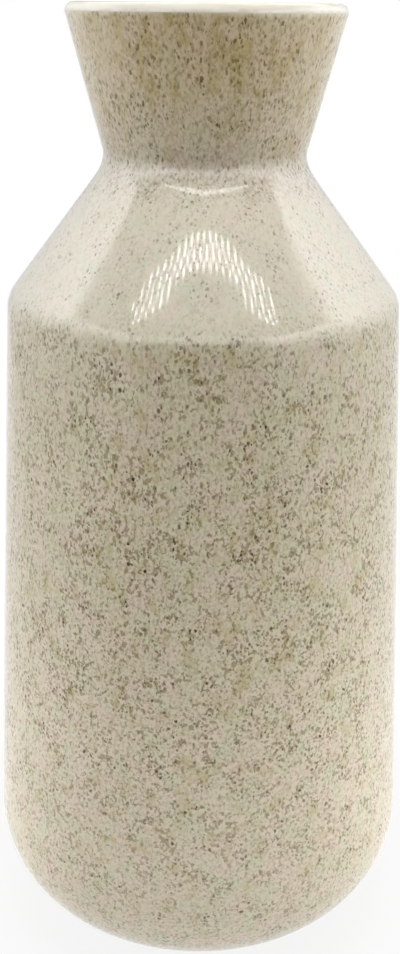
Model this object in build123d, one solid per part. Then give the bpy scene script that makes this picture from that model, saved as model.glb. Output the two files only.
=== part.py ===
"""Bottle vase: stoneware sections luted together with slip, glazed outside and lined with a plain glaze.

Millimetres, +Z up. The origin is on the vase's axis, in the plane that the foot ring stands on.
Every piece is turned about the axis, so each is drawn as a half section (radius, height) and revolved.
"""
from build123d import *
from math import hypot
import os

# Outside of the finished vase, where straight runs would meet before their corners are rounded
height = 258.0
rim_diameter = 78.0
neck_diameter = 54.4
shoulder_diameter = 108.5
base_diameter = 116.0

# How far up the neck's and the shoulder's corners lie, as shares of the height
neck_share = 0.833
shoulder_share = 0.6895

# Roundings of those corners
lip_rounding = 2.5
lip_share_of_wall = 0.48
neck_rounding = 8.0
shoulder_rounding = 9.0
heel_rounding = 29.0

# Clay and glaze
wall_thickness = 4.5
floor_thickness = 6.0
inner_heel_rounding = 20.0
glaze_thickness = 0.5

# Foot ring, left bare, and where the outer glaze stops
foot_diameter = 70.0
foot_width = 5.0
foot_height = 2.5
foot_edge_rounding = 0.8
glaze_stop = 2.0
lip_band = 2.6

# Luted joints: a tongue on the inner half of the lower section, and slip in the gap
tongue_height = 3.0
slip_thickness = 0.6

# The corners as (radius, height), and the depths below the glazed outside at which surfaces lie
heel_corner = (base_diameter / 2, foot_height)
shoulder_corner = (shoulder_diameter / 2, shoulder_share * height)
neck_corner = (neck_diameter / 2, neck_share * height)
rim_corner = (rim_diameter / 2, height)
mid_wall = glaze_thickness + wall_thickness / 2
clay_inside = glaze_thickness + wall_thickness
glazed_inside = clay_inside + glaze_thickness
underside = foot_height + glaze_thickness
mid_floor = underside + floor_thickness / 2
clay_floor = underside + floor_thickness
glazed_floor = clay_floor + glaze_thickness
beyond = height
from_axis = (Align.MIN, Align.MIN)


def run_direction(start, end):
    """Unit vector of a straight run."""
    dr, dz = end[0] - start[0], end[1] - start[1]
    length = hypot(dr, dz)
    return dr / length, dz / length


def inset_corner(before, corner, after, depth):
    """The corner of two runs, after both are moved towards the axis by depth."""
    u = run_direction(before, corner)
    v = run_direction(corner, after)
    share = depth / (1 + u[0] * v[0] + u[1] * v[1])
    return corner[0] - share * (u[1] + v[1]), corner[1] + share * (u[0] + v[0])


def inset_radius(start, end, depth, z):
    """Radius at height z of a run that is moved towards the axis by depth."""
    dr, dz = run_direction(start, end)
    return start[0] + (z - start[1]) * dr / dz - depth / dz


def half_turn_tangent(before, corner, after):
    """Tangent of half the angle by which the outline turns at a corner."""
    u = run_direction(before, corner)
    v = run_direction(corner, after)
    return abs(u[0] * v[1] - u[1] * v[0]) / (1 + u[0] * v[0] + u[1] * v[1])


def filled_section(depth, bottom, top, heel_radius):
    """Everything inside the surface that lies depth below the glazed outside, from bottom to top."""
    shoulder = inset_corner(heel_corner, shoulder_corner, neck_corner, depth)
    neck = inset_corner(shoulder_corner, neck_corner, rim_corner, depth)
    corners = [
        (0, bottom),
        (inset_radius(heel_corner, shoulder_corner, depth, bottom), bottom),
        shoulder,
        neck,
        (inset_radius(neck_corner, rim_corner, depth, top), top),
        (0, top),
    ]
    roundings = [0, heel_radius, shoulder_rounding - depth, neck_rounding + depth, 0, 0]
    return make_face(FilletPolyline(*corners, radius=roundings, close=True).edges())


def walled_section(depth, bottom, floor, lip_radius):
    """The wall between a depth below the glazed outside and the same depth below the glazed inside."""
    top = height - depth
    solid = filled_section(depth, bottom, top, heel_rounding - depth)
    hollow = filled_section(glazed_inside - depth, floor, top, inner_heel_rounding + depth)
    wall = solid - hollow
    return fillet(wall.vertices().group_by(Axis.Y)[-1], lip_radius)


def foot_ring_section():
    """The turned ring under the floor, rounded where it meets the table."""
    ring = Pos(foot_diameter / 2 - foot_width, 0) * Rectangle(foot_width, mid_floor, align=from_axis)
    return fillet(ring.vertices().group_by(Axis.Y)[0], foot_edge_rounding)


def joint_section(z, step_radius):
    """The gap between two sections: a flat seat, a step up round the tongue, and a second flat seat."""
    upper = z + tongue_height
    corners = [
        (0, upper),
        (step_radius, upper),
        (step_radius, z),
        (beyond, z),
        (beyond, z + slip_thickness),
        (step_radius + slip_thickness, z + slip_thickness),
        (step_radius + slip_thickness, upper + slip_thickness),
        (0, upper + slip_thickness),
    ]
    return make_face(Polyline(*corners, close=True).edges())


def turned(section):
    """A half section revolved about the vase's axis."""
    return revolve(Plane.XZ * section, Axis.Z)


# Where each joint's outer seat lies, and how deep in the wall the tongue's outer face is
base_joint = foot_height + heel_rounding
shoulder_tangent = shoulder_rounding * half_turn_tangent(heel_corner, shoulder_corner, neck_corner)
shoulder_joint = shoulder_corner[1] - shoulder_tangent - tongue_height - slip_thickness
neck_joint = inset_corner(shoulder_corner, neck_corner, rim_corner, mid_wall)[1]
tongue_face = mid_wall + slip_thickness / 2
joints = {
    "base_slip": (base_joint, heel_corner, shoulder_corner),
    "shoulder_slip": (shoulder_joint, heel_corner, shoulder_corner),
    "neck_slip": (neck_joint, neck_corner, rim_corner),
}

# Clay, cut into its sections by the joints, and the slip that fills the cuts
lip_radius = min(lip_rounding, lip_share_of_wall * glazed_inside)
finished = walled_section(0, foot_height, glazed_floor, lip_radius)
clay = walled_section(glaze_thickness, underside, clay_floor, lip_radius - glaze_thickness)
clay += foot_ring_section()
pieces = {}
sections = clay
for name, (z, start, end) in joints.items():
    gap = joint_section(z, inset_radius(start, end, tongue_face, z + tongue_height / 2))
    pieces[name] = clay & gap
    sections -= gap
for name, section in zip(("base", "body_wall", "shoulder", "collar"), sections.faces().sort_by(Axis.Y)):
    pieces[name] = section

# Glaze, parted below the lip and bare round the foot ring
bare_radius = foot_diameter / 2 + glaze_stop
bare = Rectangle(bare_radius, mid_floor, align=from_axis)
coats = finished - clay - bare
outer_zone = Rectangle(beyond, height - lip_band, align=from_axis)
outer_zone -= filled_section(mid_wall, foot_height + mid_wall, height, heel_rounding - mid_wall)
pieces["outer_glaze"] = coats & outer_zone
pieces["liner_glaze"] = coats - outer_zone

os.makedirs("parts", exist_ok=True)
for name, section in pieces.items():
    export_step(turned(section), f"parts/{name}.step")
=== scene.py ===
import bpy
import numpy as np
from mathutils import Matrix, Vector


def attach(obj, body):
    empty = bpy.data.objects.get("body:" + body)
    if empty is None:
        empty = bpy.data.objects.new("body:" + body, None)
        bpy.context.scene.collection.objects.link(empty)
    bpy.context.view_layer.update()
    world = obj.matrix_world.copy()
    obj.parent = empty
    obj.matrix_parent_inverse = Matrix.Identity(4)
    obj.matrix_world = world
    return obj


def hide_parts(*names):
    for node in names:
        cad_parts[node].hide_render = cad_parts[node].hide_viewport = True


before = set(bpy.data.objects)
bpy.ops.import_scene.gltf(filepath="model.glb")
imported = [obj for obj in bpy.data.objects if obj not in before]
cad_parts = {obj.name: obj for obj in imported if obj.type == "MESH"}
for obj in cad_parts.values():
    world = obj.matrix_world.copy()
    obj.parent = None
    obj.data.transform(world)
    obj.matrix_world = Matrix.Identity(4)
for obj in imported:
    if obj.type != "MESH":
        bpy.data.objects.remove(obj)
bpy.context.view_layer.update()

mm = 0.001

# Outside of the vase, as corners (radius + height in the imaginary part) before they are rounded
height = 258 * mm
foot_height = 2.5 * mm
heel = 58 * mm + 1j * foot_height
shoulder = 54.25 * mm + 0.6895j * height
neck = 27.2 * mm + 0.833j * height
rim = 39 * mm + 1j * height
outline = np.array([heel, shoulder, neck, rim])

# Roundings, layers and edges
heel_rounding = 29 * mm
inner_heel_rounding = 20 * mm
shoulder_rounding = 9 * mm
neck_rounding = 8 * mm
lip_rounding = 2.5 * mm
glaze = 0.5 * mm
clay_wall = 4.5 * mm
clay_inside = glaze + clay_wall
glazed_inside = clay_inside + glaze
underside = foot_height + glaze
clay_floor = underside + 6 * mm
glazed_floor = clay_floor + glaze
lip_line = height - 2.6 * mm
foot_outside = 35 * mm
foot_inside = 30 * mm
foot_edge = 0.8 * mm
bare_radius = foot_outside + 2 * mm
base_joint = foot_height + heel_rounding
tongue_height = 3 * mm
tongue_depth = glaze + clay_wall / 2 + 0.3 * mm


# Shapes: half sections as complex paths, turned about the axis

def moved_in(depth):
    """Corners of the outline after every straight run moves towards the axis by depth.

    A corner moves along its mitre: depth times the sum of both runs' normals, over one plus their dot
    product.
    """
    run = np.diff(outline)
    normal = 1j * run / abs(run)
    before = np.concatenate([normal[:1], normal])
    after = np.concatenate([normal, normal[-1:]])
    return outline + depth * (before + after) / (1 + (before * after.conj()).real)


def at_height(start, end, z):
    """The point of a straight run, or of its continuation, at height z."""
    return start + (end - start) * (z - start.imag) / (end.imag - start.imag)


def rounded(corners, roundings, arc_steps=64):
    """A path of straight runs with an arc at each inner corner.

    The arc touches both runs at the radius times the tangent of half the turn from the corner. Its centre
    lies square to the first run, and its points are the first touching point swept about the centre by the
    turn.
    """
    corners = np.asarray(corners, dtype=complex)
    radius = np.asarray(roundings, dtype=float)
    into = np.diff(corners)[:-1]
    into /= abs(into)
    out = np.diff(corners)[1:]
    out /= abs(out)
    turn = np.angle(out / into)
    touch = corners[1:-1] - radius * np.tan(abs(turn) / 2) * into
    spoke = radius * np.sign(turn) * 1j * into
    sweep = np.exp(1j * turn[:, None] * np.linspace(0, 1, arc_steps))
    arcs = (touch + spoke)[:, None] - spoke[:, None] * sweep
    return np.concatenate([corners[:1], arcs.ravel(), corners[-1:]])


def paced(path, count, turn_weight=4 * mm):
    """Points along a path at even steps of its length plus a weight for each radian that it turns."""
    keep = np.concatenate([[True], abs(np.diff(path)) > 1e-8])
    path = path[keep]
    step = np.diff(path)
    turn = abs(np.angle(step[1:] / step[:-1])) * turn_weight / 2
    pace = abs(step)
    pace[1:] += turn
    pace[:-1] += turn
    mark = np.concatenate([[0], np.cumsum(pace)])
    place = np.linspace(0, mark[-1], count)
    return np.interp(place, mark, path.real) + 1j * np.interp(place, mark, path.imag)


def turned(name, path, sides, closed, shift=None):
    """A path turned about the axis: x = r cos a, y = r sin a, z as drawn, for even angles a.

    A closed path makes a ring. An open one starts and ends on the axis, and each end is a fan round one
    point. shift(path, angle) moves points along the path's own normal, as a grid of lengths.
    """
    angle = np.linspace(0, 2 * np.pi, sides, endpoint=False)
    grid = np.repeat(path[:, None], sides, axis=1)
    if shift is not None:
        ahead = np.roll(path, -1) - np.roll(path, 1) if closed else np.gradient(path)
        normal = -1j * ahead / abs(ahead)
        grid = grid + normal[:, None] * shift(path[:, None], angle[None, :])
    points = np.stack([grid.real * np.cos(angle), grid.real * np.sin(angle), grid.imag], axis=-1)
    rows = len(path)
    index = np.arange(rows * sides).reshape(rows, sides)
    if closed:
        low, high = index, np.roll(index, -1, axis=0)
    else:
        low, high = index[1:-2], index[2:-1]
    quads = np.stack([low, np.roll(low, -1, axis=1), np.roll(high, -1, axis=1), high], axis=-1)
    quads = quads.reshape(-1, 4)
    faces = quads.tolist()
    vertices = points.reshape(-1, 3)
    if not closed:
        around = np.roll(index, -1, axis=1)
        start = np.stack([np.zeros(sides, int), around[1], index[1]], axis=-1)
        end = np.stack([np.full(sides, rows * sides - 1), index[-2], around[-2]], axis=-1)
        used = np.concatenate([[0], index[1:-1].ravel(), [rows * sides - 1]])
        renumber = np.zeros(rows * sides, int)
        renumber[used] = np.arange(len(used))
        vertices = vertices[used]
        faces = renumber[quads].tolist() + renumber[start].tolist() + renumber[end].tolist()
    mesh = bpy.data.meshes.new(name)
    mesh.from_pydata(vertices.tolist(), [], faces)
    mesh.shade_smooth()
    mesh.set_sharp_from_angle(angle=0.6)
    piece = bpy.data.objects.new(name, mesh)
    bpy.context.scene.collection.objects.link(piece)
    return piece


def section_path(depth):
    """The wall's half section, shrunk all round by depth.

    It runs from the axis underneath up the outside, over the lip, down the inside and along the floor back
    to the axis.
    """
    inner = glazed_inside - depth
    low, wide, narrow, top = moved_in(depth)
    inner_low, inner_wide, inner_narrow, inner_top = moved_in(inner)
    bottom, floor, crown = foot_height + depth, glazed_floor - depth, height - depth
    corners = [1j * bottom, at_height(low, wide, bottom), wide, narrow, at_height(narrow, top, crown),
               at_height(inner_narrow, inner_top, crown), inner_narrow, inner_wide,
               at_height(inner_low, inner_wide, floor), 1j * floor]
    roundings = [heel_rounding - depth, shoulder_rounding - depth, neck_rounding + depth,
                 lip_rounding - depth, lip_rounding - depth,
                 neck_rounding + inner, shoulder_rounding - inner, inner_heel_rounding + depth]
    return paced(rounded(corners, roundings), count=16000)


def parted(path):
    """A section path in two: the outside from the bare ring up to the lip line, and all that follows."""
    lip = np.argmax(path.imag > lip_line)
    outside = path[:lip]
    return outside[outside.real >= bare_radius * (outside.imag < base_joint)], path[lip:]


def bell(value, middle, width):
    """A bell curve: 1 at the middle, and e to the minus square of the distance counted in widths."""
    return np.exp(-((value - middle) / width) ** 2)


def hand_made(path, angle):
    """Slow unevenness of the glazed outside: a slight oval that turns with height, and faint rings.

    The oval is a cosine of twice the angle and a smaller one of three times the angle. The rings are a sine
    of the height, 13 mm apart, that comes and goes over 71 mm.
    """
    z = path.imag
    oval = 0.10 * mm * np.cos(2 * angle + 0.8 + 6 * z)
    three_sided = 0.05 * mm * np.cos(3 * angle - 14 * z)
    ring = np.sin(2 * np.pi * z / (13 * mm) + angle)
    ring_depth = 0.018 * mm * np.cos(2 * np.pi * z / (71 * mm))
    return oval + three_sided + ring_depth * ring


def make_outer_glaze():
    """The speckled coat: the outside from the bare ring up to the lip line, and back along the clay.

    Its face has the unevenness of hand_made. It ends in a low roll at the foot and lies thicker in the
    crease of the neck. The roll is a bell curve of the radius and the thicker part one of the height.
    """
    face = paced(parted(section_path(0))[0], count=270)
    back = paced(parted(section_path(glaze))[0], count=60)[::-1]
    loop = np.concatenate([face, back])
    on_face = (np.arange(len(loop)) < len(face))[:, None]

    def shift(path, angle):
        roll = 0.3 * mm * bell(path.real, bare_radius + 1.2 * mm, 0.9 * mm) * (path.imag < base_joint)
        pool = 0.22 * mm * bell(path.imag, neck.imag - 1.3 * mm, 2.5 * mm)
        edge = np.clip((lip_line - path.imag) / (2 * mm), 0, 1)
        return on_face * (hand_made(path, angle) * edge + roll + pool)

    return turned("outer_glaze_coat", loop, sides=288, closed=True, shift=shift)


def make_liner_glaze():
    """The pale coat: along the clay from the floor's middle over the lip, and back down the inside."""
    clay_side = paced(parted(section_path(glaze))[1], count=90)[::-1]
    face = paced(parted(section_path(0))[1], count=260)
    return turned("liner_glaze_coat", np.concatenate([clay_side, face]), sides=192, closed=False)


def make_base():
    """The bare base: turned foot ring, heel, stepped seat with its tongue, and the clay floor.

    Inside the ring, the underside carries the turning tool's spiral: a sine of the radius over its pitch
    minus the angle, and a finer one.
    """
    wall = moved_in(glaze)[:2]
    tongue = moved_in(tongue_depth)[:2]
    inner = moved_in(clay_inside)[:2]
    tongue_top = base_joint + tongue_height
    heel_clay = section_path(glaze)
    heel_clay = heel_clay[:np.argmax(heel_clay.imag > base_joint)]
    heel_clay = heel_clay[heel_clay.real >= foot_outside]
    foot_corners = [1j * underside, foot_inside + 1j * underside, foot_inside, foot_outside, heel_clay[0]]
    foot = rounded(foot_corners, [0.3 * mm, foot_edge, foot_edge])
    seat_corners = [at_height(*wall, base_joint), at_height(*tongue, base_joint),
                    at_height(*tongue, tongue_top), at_height(*inner, tongue_top),
                    at_height(*inner, clay_floor), 1j * clay_floor]
    seat = rounded(seat_corners, [0, 0, 0, inner_heel_rounding + glaze])
    path = np.concatenate([paced(foot, count=150), paced(heel_clay, count=40)[1:-1], paced(seat, count=70)])

    def spiral(path, angle):
        coarse = np.sin(2 * np.pi * path.real / (2.4 * mm) - angle)
        fine = np.sin(2 * np.pi * path.real / (0.9 * mm) - angle)
        from_ring = np.clip((foot_inside - 1 * mm - path.real) / (3 * mm), 0, 1)
        from_middle = np.clip(path.real / (3 * mm), 0, 1)
        below = path.imag < underside + 0.1 * mm
        return 0.07 * mm * (coarse + 0.4 * fine) * from_ring * from_middle * below

    return turned("turned_base", path, sides=192, closed=False, shift=spiral)


# Finishes: node trees written as expressions

class Wire:
    """A socket in a material's node tree. Arithmetic with wires and numbers adds Math nodes."""

    def __init__(self, tree, socket=None):
        self.tree = tree
        self.socket = socket

    def node(self, kind, settings=None, sockets=None, out=0):
        """Adds a node: settings first, then a value or a wire for each socket. Gives one output's wire."""
        made = self.tree.nodes.new(kind)
        for key, value in (settings or {}).items():
            setattr(made, key, value)
        for key, value in (sockets or {}).items():
            target = self.find(made.inputs, key)
            if isinstance(value, Wire):
                self.tree.links.new(value.socket, target)
            else:
                target.default_value = value
        return Wire(self.tree, self.find(made.outputs, out) if made.outputs else None)

    @staticmethod
    def find(sockets, key):
        """A socket by its number, its identifier or its name."""
        named = {s.identifier: s for s in sockets}
        return named[key] if key in named else sockets[key]

    def out(self, key):
        """Another output of the same node."""
        return Wire(self.tree, self.find(self.socket.node.outputs, key))

    def maths(self, operation, first, second):
        """A Math node of two values or wires."""
        return self.node("ShaderNodeMath", {"operation": operation}, {0: first, 1: second})

    def __add__(self, other):
        return self.maths("ADD", self, other)

    def __radd__(self, other):
        return self.maths("ADD", other, self)

    def __sub__(self, other):
        return self.maths("SUBTRACT", self, other)

    def __rsub__(self, other):
        return self.maths("SUBTRACT", other, self)

    def __mul__(self, other):
        return self.maths("MULTIPLY", self, other)

    def __rmul__(self, other):
        return self.maths("MULTIPLY", other, self)

    def __truediv__(self, other):
        return self.maths("DIVIDE", self, other)

    def __pow__(self, other):
        return self.maths("POWER", self, other)

    def __rpow__(self, other):
        return self.maths("POWER", other, self)

    def held(self):
        """The value kept between 0 and 1."""
        return self.node("ShaderNodeMath", {"operation": "ADD", "use_clamp": True}, {0: self, 1: 0.0})

    def blend(self, first, second):
        """Two colours mixed by this value."""
        return self.node("ShaderNodeMix", {"data_type": "RGBA", "clamp_factor": True},
                         {"Factor_Float": self, "A_Color": first, "B_Color": second}, "Result_Color")

    def noise(self, place, grain, detail=2.0):
        """Smooth noise about 0.5, with features about one grain wide."""
        return self.node("ShaderNodeTexNoise", {"noise_dimensions": "3D"},
                         {"Vector": place, "Scale": 1 / grain, "Detail": detail}, "Fac")

    def cells(self, place, size):
        """Distance in metres to the nearest of random points one size apart, and two chances of it."""
        near = self.node("ShaderNodeTexVoronoi", {"voronoi_dimensions": "3D", "feature": "F1"},
                         {"Vector": place, "Scale": 1 / size}, "Distance")
        chance = self.node("ShaderNodeSeparateColor", {}, {"Color": near.out("Color")}, "Red")
        return near * size, chance, chance.out("Green")

    def bumped(self, strength, depth):
        """A normal that follows this value as a height, up to a depth in metres."""
        return self.node("ShaderNodeBump", {}, {"Height": self, "Strength": strength, "Distance": depth})


def colour(red, green, blue):
    """A colour as seen on a screen, 0 to 255, as the linear values that a shader takes."""
    screen = np.array([red, green, blue]) / 255
    linear = np.where(screen <= 0.04045, screen / 12.92, ((screen + 0.055) / 1.055) ** 2.4)
    return (*linear.tolist(), 1.0)


def start_material(name):
    """An empty material, and a wire to begin its nodes from."""
    material = bpy.data.materials.new(name)
    material.use_nodes = True
    material.node_tree.nodes.clear()
    return material, Wire(material.node_tree)


def close_material(wire, shader):
    """Leads a shader to the material's output."""
    wire.node("ShaderNodeOutputMaterial", {}, {"Surface": shader})


def specks(wire, place, spacing, least, most, rim, faintest=0.0):
    """Round spots at random points, each with its own radius and depth of colour, and with a soft rim.

    The radius lies between least and most, and the depth of colour between faintest and 1.
    """
    distance, size, depth = wire.cells(place, spacing)
    spot = ((least + (most - least) * size - distance) / rim).held()
    return spot * (faintest + (1 - faintest) * depth)


def make_speckled_glaze():
    """Gloss oatmeal glaze: mottled cream with ochre clouds, iron specks in drifts, flecks and fine chains.

    Higher up, heights are pressed together before the specks are looked up, so they run into upright
    streaks. On the slope of the shoulder the glaze lies thick and half hides them, and towards the foot it
    veils them. From the shoulder up, the iron breaks through the gloss and is partly matt. At the lip the
    glaze thins out to cream.
    """
    material, wire = start_material("speckled_glaze")
    place = wire.node("ShaderNodeTexCoord", out="Object")
    across = wire.node("ShaderNodeSeparateXYZ", {}, {"Vector": place}, "X")
    z = across.out("Z")
    pressed = z - 1.05 * z * z
    run = wire.node("ShaderNodeCombineXYZ", {}, {"X": across, "Y": across.out("Y"), "Z": pressed})
    wobble = wire.node("ShaderNodeTexNoise", {"noise_dimensions": "3D"},
                       {"Vector": run, "Scale": 1 / (1.1 * mm), "Detail": 1.0}, "Color")
    wobble = wire.node("ShaderNodeVectorMath", {"operation": "SUBTRACT"}, {0: wobble, 1: (0.5, 0.5, 0.5)})
    grain = wire.node("ShaderNodeVectorMath", {"operation": "MULTIPLY_ADD"},
                      {0: wobble, 1: (0.9 * mm, 0.9 * mm, 0.7 * mm), 2: run})

    # Zones by height
    collar = ((z - neck.imag) / (30 * mm)).held()
    from_crease = ((z - shoulder.imag + 4 * mm) / (6 * mm)).held()
    slope = from_crease * ((neck.imag - 3 * mm - z) / (5 * mm)).held()
    above = ((z - shoulder.imag) / (8 * mm)).held()
    low = ((75 * mm - z) / (65 * mm)).held()
    upper = ((z - 60 * mm) / (100 * mm)).held() * (1.0 - above)
    shown = 1.0 - 0.6 * slope - 0.4 * low

    # The ground, from slow noises
    drift = wire.noise(run, 9 * mm, 3.0)
    crowd = ((wire.noise(run, 5 * mm, 3.0) - 0.38) * 4.2 + 0.35 * collar - 0.05 * above).held()
    warm = ((wire.noise(run, 5.5 * mm, 2.0) - 0.46) * 6.0).held()
    cool = ((wire.noise(place, 6 * mm, 2.0) - 0.46) * 6.0).held()
    ochre = ((wire.noise(run, 4.5 * mm, 3.0) - 0.55) * 6.0 + 0.45 * collar).held()
    cream = cool.blend(colour(217, 207, 184), colour(211, 208, 182))
    cream = (upper * 0.35).blend(cream, colour(211, 205, 166))
    cream = (warm * (0.5 - 0.2 * slope)).blend(cream, colour(224, 204, 191))
    cream = (ochre * (0.5 + 0.2 * collar) * shown).blend(cream, colour(182, 165, 106))
    cream = (collar * 0.5).blend(cream, colour(203, 179, 128))

    # Specks, from the finest to the darkest
    fine = ((wire.noise(grain, 0.75 * mm, 1.0) - 0.46) * 7.0).held()
    chains = ((wire.noise(grain, 1.0 * mm, 1.0) - 0.61 + 0.10 * crowd) * 12.0).held()
    flecks = specks(wire, grain, 0.95 * mm, 0.16 * mm, 0.44 * mm, 0.12 * mm, 0.3) * (0.3 + 0.7 * crowd)
    iron = specks(wire, grain, 1.05 * mm, 0.18 * mm, 0.48 * mm, 0.12 * mm, 0.3) * (0.15 + 0.85 * crowd)
    face = (fine * 0.3 * shown).blend(cream, colour(150, 130, 86))
    face = (chains * 0.56 * shown * (1.0 - 0.5 * above)).blend(face, colour(120, 97, 46))
    face = (flecks * 0.8 * (shown - 0.15 * collar)).blend(face, colour(99, 77, 28))
    matt_iron = colour(108, 90, 42)
    rust = above.blend(colour(62, 43, 8), matt_iron)
    face = (iron * (0.97 - 0.3 * slope - 0.35 * low - 0.15 * collar)).blend(face, rust)

    # The thin lip, the ripple and the gloss
    thin = ((z - lip_line) / (1.8 * mm) + 0.6 + 2.0 * (wire.noise(place, 3 * mm, 2.0) - 0.5)).held()
    face = (thin * 0.85).blend(face, colour(232, 225, 206))
    ripple = wire.noise(place, 4 * mm, 2.0) + 0.4 * wire.noise(place, 1.3 * mm, 1.0)
    gloss = wire.node("ShaderNodeBsdfPrincipled", {}, {
        "Base Color": face, "Roughness": 0.045 + 0.08 * iron + 0.02 * drift,
        "Normal": ripple.bumped(0.12, 0.03 * mm), "IOR": 1.5})
    matt = wire.node("ShaderNodeBsdfPrincipled", {}, {
        "Base Color": matt_iron, "Roughness": 1.0, "Specular IOR Level": 0.0})
    through = iron * (0.4 * above - 0.15 * slope).held()
    close_material(wire, wire.node("ShaderNodeMixShader", {}, {0: through, 1: gloss, 2: matt}))
    return material


def make_pale_liner():
    """Gloss cream glaze, faintly mottled, with a rare pale brown pinprick.

    On the outside of the lip it turns tan towards the speckled coat.
    """
    material, wire = start_material("pale_liner_glaze")
    place = wire.node("ShaderNodeTexCoord", out="Object")
    drift = ((wire.noise(place, 11 * mm, 3.0) - 0.4) * 5.0).held()
    cream = drift.blend(colour(232, 227, 212), colour(226, 219, 201))
    prick = specks(wire, place, 5 * mm, 0, 0.45 * mm, 0.2 * mm)
    face = (prick * 0.55).blend(cream, colour(150, 128, 92))
    across = wire.node("ShaderNodeSeparateXYZ", {}, {"Vector": place}, "X")
    along, up = across.out("Y"), across.out("Z")
    outside = (((across * across + along * along) ** 0.5 - 36.5 * mm) / (0.5 * mm)).held()
    ragged = 2.0 * (wire.noise(place, 3 * mm, 2.0) - 0.5)
    edge = ((lip_line + 0.8 * mm - up) / (1.0 * mm) + ragged).held()
    face = (outside * edge * 0.6).blend(face, colour(196, 178, 138))
    close_material(wire, wire.node("ShaderNodeBsdfPrincipled", {}, {
        "Base Color": face, "Roughness": 0.08 + 0.05 * drift,
        "Normal": wire.noise(place, 4 * mm).bumped(0.12, 0.03 * mm), "IOR": 1.5}))
    return material


def make_bare_clay(name, ground, toast, grog):
    """Bare fired clay: buff ground that toasts in patches, with dark and pale grog and a dry tooth."""
    material, wire = start_material(name)
    place = wire.node("ShaderNodeTexCoord", out="Object")
    patch = ((wire.noise(place, 14 * mm, 4.0) - 0.38) * 4.0).held()
    face = patch.blend(ground, toast)
    dark = specks(wire, place, 1.2 * mm, 0, 0.34 * mm, 0.1 * mm)
    face = (dark * 0.7).blend(face, grog)
    pale = specks(wire, place, 1.9 * mm, 0, 0.4 * mm, 0.15 * mm)
    face = (pale * 0.4).blend(face, colour(226, 210, 184))
    tooth = wire.noise(place, 0.5 * mm, 3.0) + 0.5 * dark
    close_material(wire, wire.node("ShaderNodeBsdfPrincipled", {}, {
        "Base Color": face, "Roughness": 0.82 + 0.1 * patch,
        "Normal": tooth.bumped(0.5, 0.1 * mm), "IOR": 1.45}))
    return material


# The vase

speckled = make_speckled_glaze()
pale = make_pale_liner()
buff = colour(196, 168, 132)
stoneware = make_bare_clay("bare_stoneware", buff, colour(180, 146, 108), colour(96, 70, 48))
slip = make_bare_clay("fired_slip", colour(206, 182, 150), buff, colour(130, 100, 74))

for piece, node, slot, finish in (
        (make_outer_glaze(), "outer_glaze", "speckled_glaze", speckled),
        (make_liner_glaze(), "liner_glaze", "pale_liner_glaze", pale),
        (make_base(), "base", "stoneware", stoneware)):
    piece.data.materials.append(finish)
    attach(piece, "root")
    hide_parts(node)

for node, finish in (
        ("body_wall", stoneware), ("shoulder", stoneware), ("collar", stoneware),
        ("base_slip", slip), ("shoulder_slip", slip), ("neck_slip", slip)):
    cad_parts[node].data.materials.clear()
    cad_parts[node].data.materials.append(finish)


# Studio

ceiling = 0.58
white = (1, 1, 1, 1)


def flat_card(name, centres, half_u, half_v):
    """Flat four-cornered cards round the given centres, each spanned by two half sides."""
    centres = np.atleast_2d(np.asarray(centres, float))
    half_u, half_v = np.asarray(half_u, float), np.asarray(half_v, float)
    corners = np.stack([-half_u - half_v, half_u - half_v, half_u + half_v, half_v - half_u])
    points = (centres[:, None, :] + corners[None, :, :]).reshape(-1, 3)
    mesh = bpy.data.meshes.new(name)
    mesh.from_pydata(points.tolist(), [], np.arange(len(points)).reshape(-1, 4).tolist())
    card = bpy.data.objects.new(name, mesh)
    bpy.context.scene.collection.objects.link(card)
    return card


def fading_light(name, near, far, share):
    """A material that only gives light, mixed from far to near by share(x, y, z)."""
    material, wire = start_material(name)
    place = wire.node("ShaderNodeTexCoord", out="Object")
    x = wire.node("ShaderNodeSeparateXYZ", {}, {"Vector": place}, "X")
    strong = wire.node("ShaderNodeEmission", {}, {"Color": white, "Strength": near})
    weak = wire.node("ShaderNodeEmission", {}, {"Color": white, "Strength": far})
    mixed = {0: share(x, x.out("Y"), x.out("Z")), 1: weak, 2: strong}
    close_material(wire, wire.node("ShaderNodeMixShader", {}, mixed))
    return material


def even_light(name, strength):
    """A material that only gives light, the same all over."""
    material, wire = start_material(name)
    close_material(wire, wire.node("ShaderNodeEmission", {}, {"Color": white, "Strength": strength}))
    return material


def mirror_card(name, centres, half_u, half_v, light):
    """Flat cards that are seen in gloss and nowhere else."""
    card = flat_card(name, centres, half_u, half_v)
    card.data.materials.append(light)
    card.visible_camera = False
    card.visible_diffuse = False
    card.visible_shadow = False
    card.visible_transmission = False


def front_fade(x, y, z):
    """The front ceiling's light: full near the vase, less and less towards the front."""
    return (1 + (y + 0.6) / 2.8).held()


def side_fade(border, ramp):
    """A side card's light, less and less towards the floor.

    Behind the border it starts full and halves every 22 cm. Before it, it is less than half, and more again
    lower down.
    """
    def share(x, y, z):
        behind = ((y - border) / ramp + 0.5).held()
        back = (0.5 ** ((y - border) / 0.22)).held()
        front = 0.40 + 0.42 * ((0.46 - z) / 0.05).held()
        return (front + behind * (back - front)) * ((z - 0.05) / 0.35).held()

    return share


def table_fade(x, y, z):
    """The mirrored table's darkness: full before the vase, less to either side and close to the foot."""
    away = (x * x + y * y) ** 0.5
    return ((0 - y / away - 0.35) / 0.45).held() * ((away - 0.08) / 0.15).held()


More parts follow.
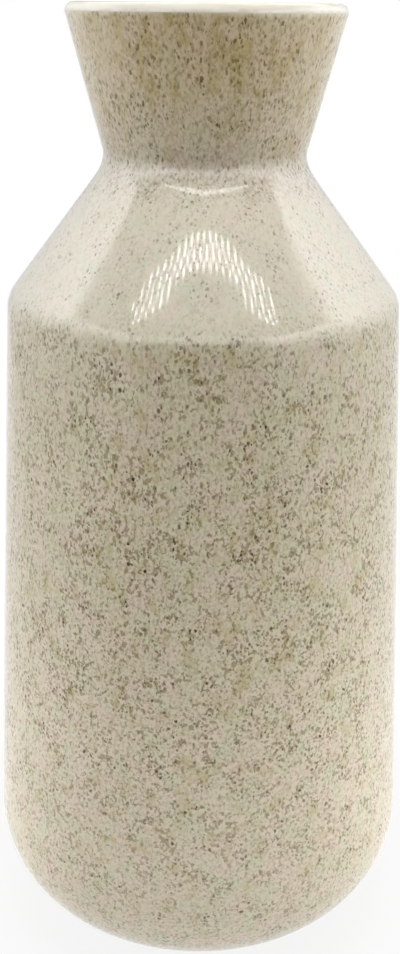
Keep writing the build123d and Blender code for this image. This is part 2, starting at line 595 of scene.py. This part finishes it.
def soft_lamp(name, place, target, size_x, size_y, power):
    """A rectangular lamp turned towards a target, with no mirror image of its own."""
    lamp = bpy.data.lights.new(name, "AREA")
    lamp.shape = "RECTANGLE"
    lamp.size = size_x
    lamp.size_y = size_y
    lamp.energy = power
    holder = bpy.data.objects.new(name, lamp)
    aim = (Vector(target) - Vector(place)).to_track_quat("-Z", "Y")
    holder.matrix_world = Matrix.Translation(place) @ aim.to_matrix().to_4x4()
    holder.visible_glossy = False
    holder.visible_camera = False
    bpy.context.scene.collection.objects.link(holder)


def looked_at(wire):
    """1 for what is seen, straight, in gloss or through glass, and 0 for what lights a surface."""
    ray = wire.node("ShaderNodeLightPath", out="Is Camera Ray")
    return (ray + ray.out("Is Glossy Ray") + ray.out("Is Transmission Ray")).held()


def lay_floor():
    """A pale paper floor that looks white away from the vase and keeps the shadow at the foot."""
    floor = flat_card("floor", [(0, 0, -0.05 * mm)], (4, 0, 0), (0, 4, 0))
    material, wire = start_material("pale_floor")
    place = wire.node("ShaderNodeTexCoord", out="Object")
    away = wire.node("ShaderNodeVectorMath", {"operation": "LENGTH"}, {0: place}, "Value")
    lift = looked_at(wire) * (0.88 + ((away - 0.05) / 0.08).held() * 0.12)
    paper = wire.node("ShaderNodeBsdfDiffuse", {}, {"Color": (0.86, 0.86, 0.85, 1)})
    glow = wire.node("ShaderNodeEmission", {}, {"Color": white})
    close_material(wire, wire.node("ShaderNodeMixShader", {}, {0: lift, 1: paper, 2: glow}))
    floor.data.materials.append(material)


def hang_sky():
    """A white world to look at, which gives no light of its own to surfaces."""
    world = bpy.data.worlds.new("studio")
    world.use_nodes = True
    world.node_tree.nodes.clear()
    wire = Wire(world.node_tree)
    sky = wire.node("ShaderNodeBackground", {}, {"Color": white, "Strength": looked_at(wire)})
    wire.node("ShaderNodeOutputWorld", {}, {"Surface": sky})
    bpy.context.scene.world = world


def bar_points():
    """Middles of small lit points under the ceiling: three staggered rows, bent back as a square of x."""
    columns = np.arange(-10, 11) * 0.028
    rows = np.array([-0.237, -0.245, -0.253])
    across, back = np.meshgrid(columns, rows, indexing="ij")
    across = across + 0.007 * np.array([-1, 1, -1])
    back = back + np.array([0.45, 0.38, 0.31]) * across ** 2
    return np.stack([across, back, np.full(across.shape, ceiling - 1 * mm)], axis=-1).reshape(-1, 3)


lay_floor()
hang_sky()

# Lamps: name, place, target, width, depth and watts
soft_lamp("lamp_above", (0, -0.14, 0.60), (0, -0.04, 0.10), 0.40, 0.15, 1.47)
soft_lamp("left_side", (-0.42, 0.08, 0.26), (0, 0, 0.14), 0.40, 0.40, 0.45)
soft_lamp("right_side", (0.42, 0.08, 0.26), (0, 0, 0.14), 0.40, 0.40, 0.72)
soft_lamp("left_table", (-0.17, 0.02, 0.003), (-0.17, 0.02, 1), 0.20, 0.40, 0.6)
soft_lamp("right_table", (0.17, 0.02, 0.003), (0.17, 0.02, 1), 0.20, 0.40, 0.58)
soft_lamp("front_lamp", (0, -0.80, 0.25), (0, 0, 0.12), 0.60, 0.40, 0.8)
soft_lamp("back_lamp", (0, 0.80, 0.30), (0, 0, 0.12), 0.60, 0.40, 2.2)
soft_lamp("low_front", (0, -0.25, 0.05), (0, 0, 0.06), 0.20, 0.06, 0.06)
soft_lamp("front_table", (0, -0.12, 0.003), (0, -0.12, 1), 0.24, 0.10, 0.02)

# Cards in the gloss: name, middles, both half sides and light
mirror_card("bar_points", bar_points(), (0.0054, 0, 0), (0, -0.0038, 0), even_light("points", 20))
mirror_card("ceiling_card", [(0, -0.05, ceiling)], (0.40, 0, 0), (0, -0.55, 0), even_light("ceiling", 3.0))
mirror_card("front_card", [(0, -2.00, ceiling)], (1.2, 0, 0), (0, -1.40, 0),
            fading_light("front", 4.4, 1.0, front_fade))
mirror_card("left_card", [(-0.40, 0.20, ceiling / 2)], (0, -0.80, 0), (0, 0, ceiling / 2),
            fading_light("left", 7.0, 1.0, side_fade(0.0, 0.05)))
mirror_card("right_card", [(0.40, 0.20, ceiling / 2)], (0, 0.80, 0), (0, 0, ceiling / 2),
            fading_light("right", 7.6, 1.0, side_fade(-0.02, 0.10)))
mirror_card("table_card", [(0, 0, 0.002)], (1.4, 0, 0), (0, 1.4, 0),
            fading_light("table", 0.2, 1.05, table_fade))

# Camera: at the rim's height, tipped down, with the lens shifted down to the foot

# Lengths in the photo's pixels, and angles in radians
picture_height = 954
focal_length = 1364.1
axis_offset = -4.3
tip = 0.165
roll = 0.011

camera = bpy.data.cameras.new("camera")
camera.sensor_width = 36.0
camera.lens = focal_length * camera.sensor_width / picture_height
camera.shift_x = axis_offset / picture_height
camera.shift_y = -0.26
camera.clip_start = 0.01
holder = bpy.data.objects.new("camera", camera)
aim = Matrix.Rotation(np.pi / 2 - tip, 4, "X") @ Matrix.Rotation(roll, 4, "Z")
holder.matrix_world = Matrix.Translation((0, -0.3726, height)) @ aim
bpy.context.scene.collection.objects.link(holder)
bpy.context.scene.camera = holder
bpy.context.scene.view_settings.view_transform = "Standard"
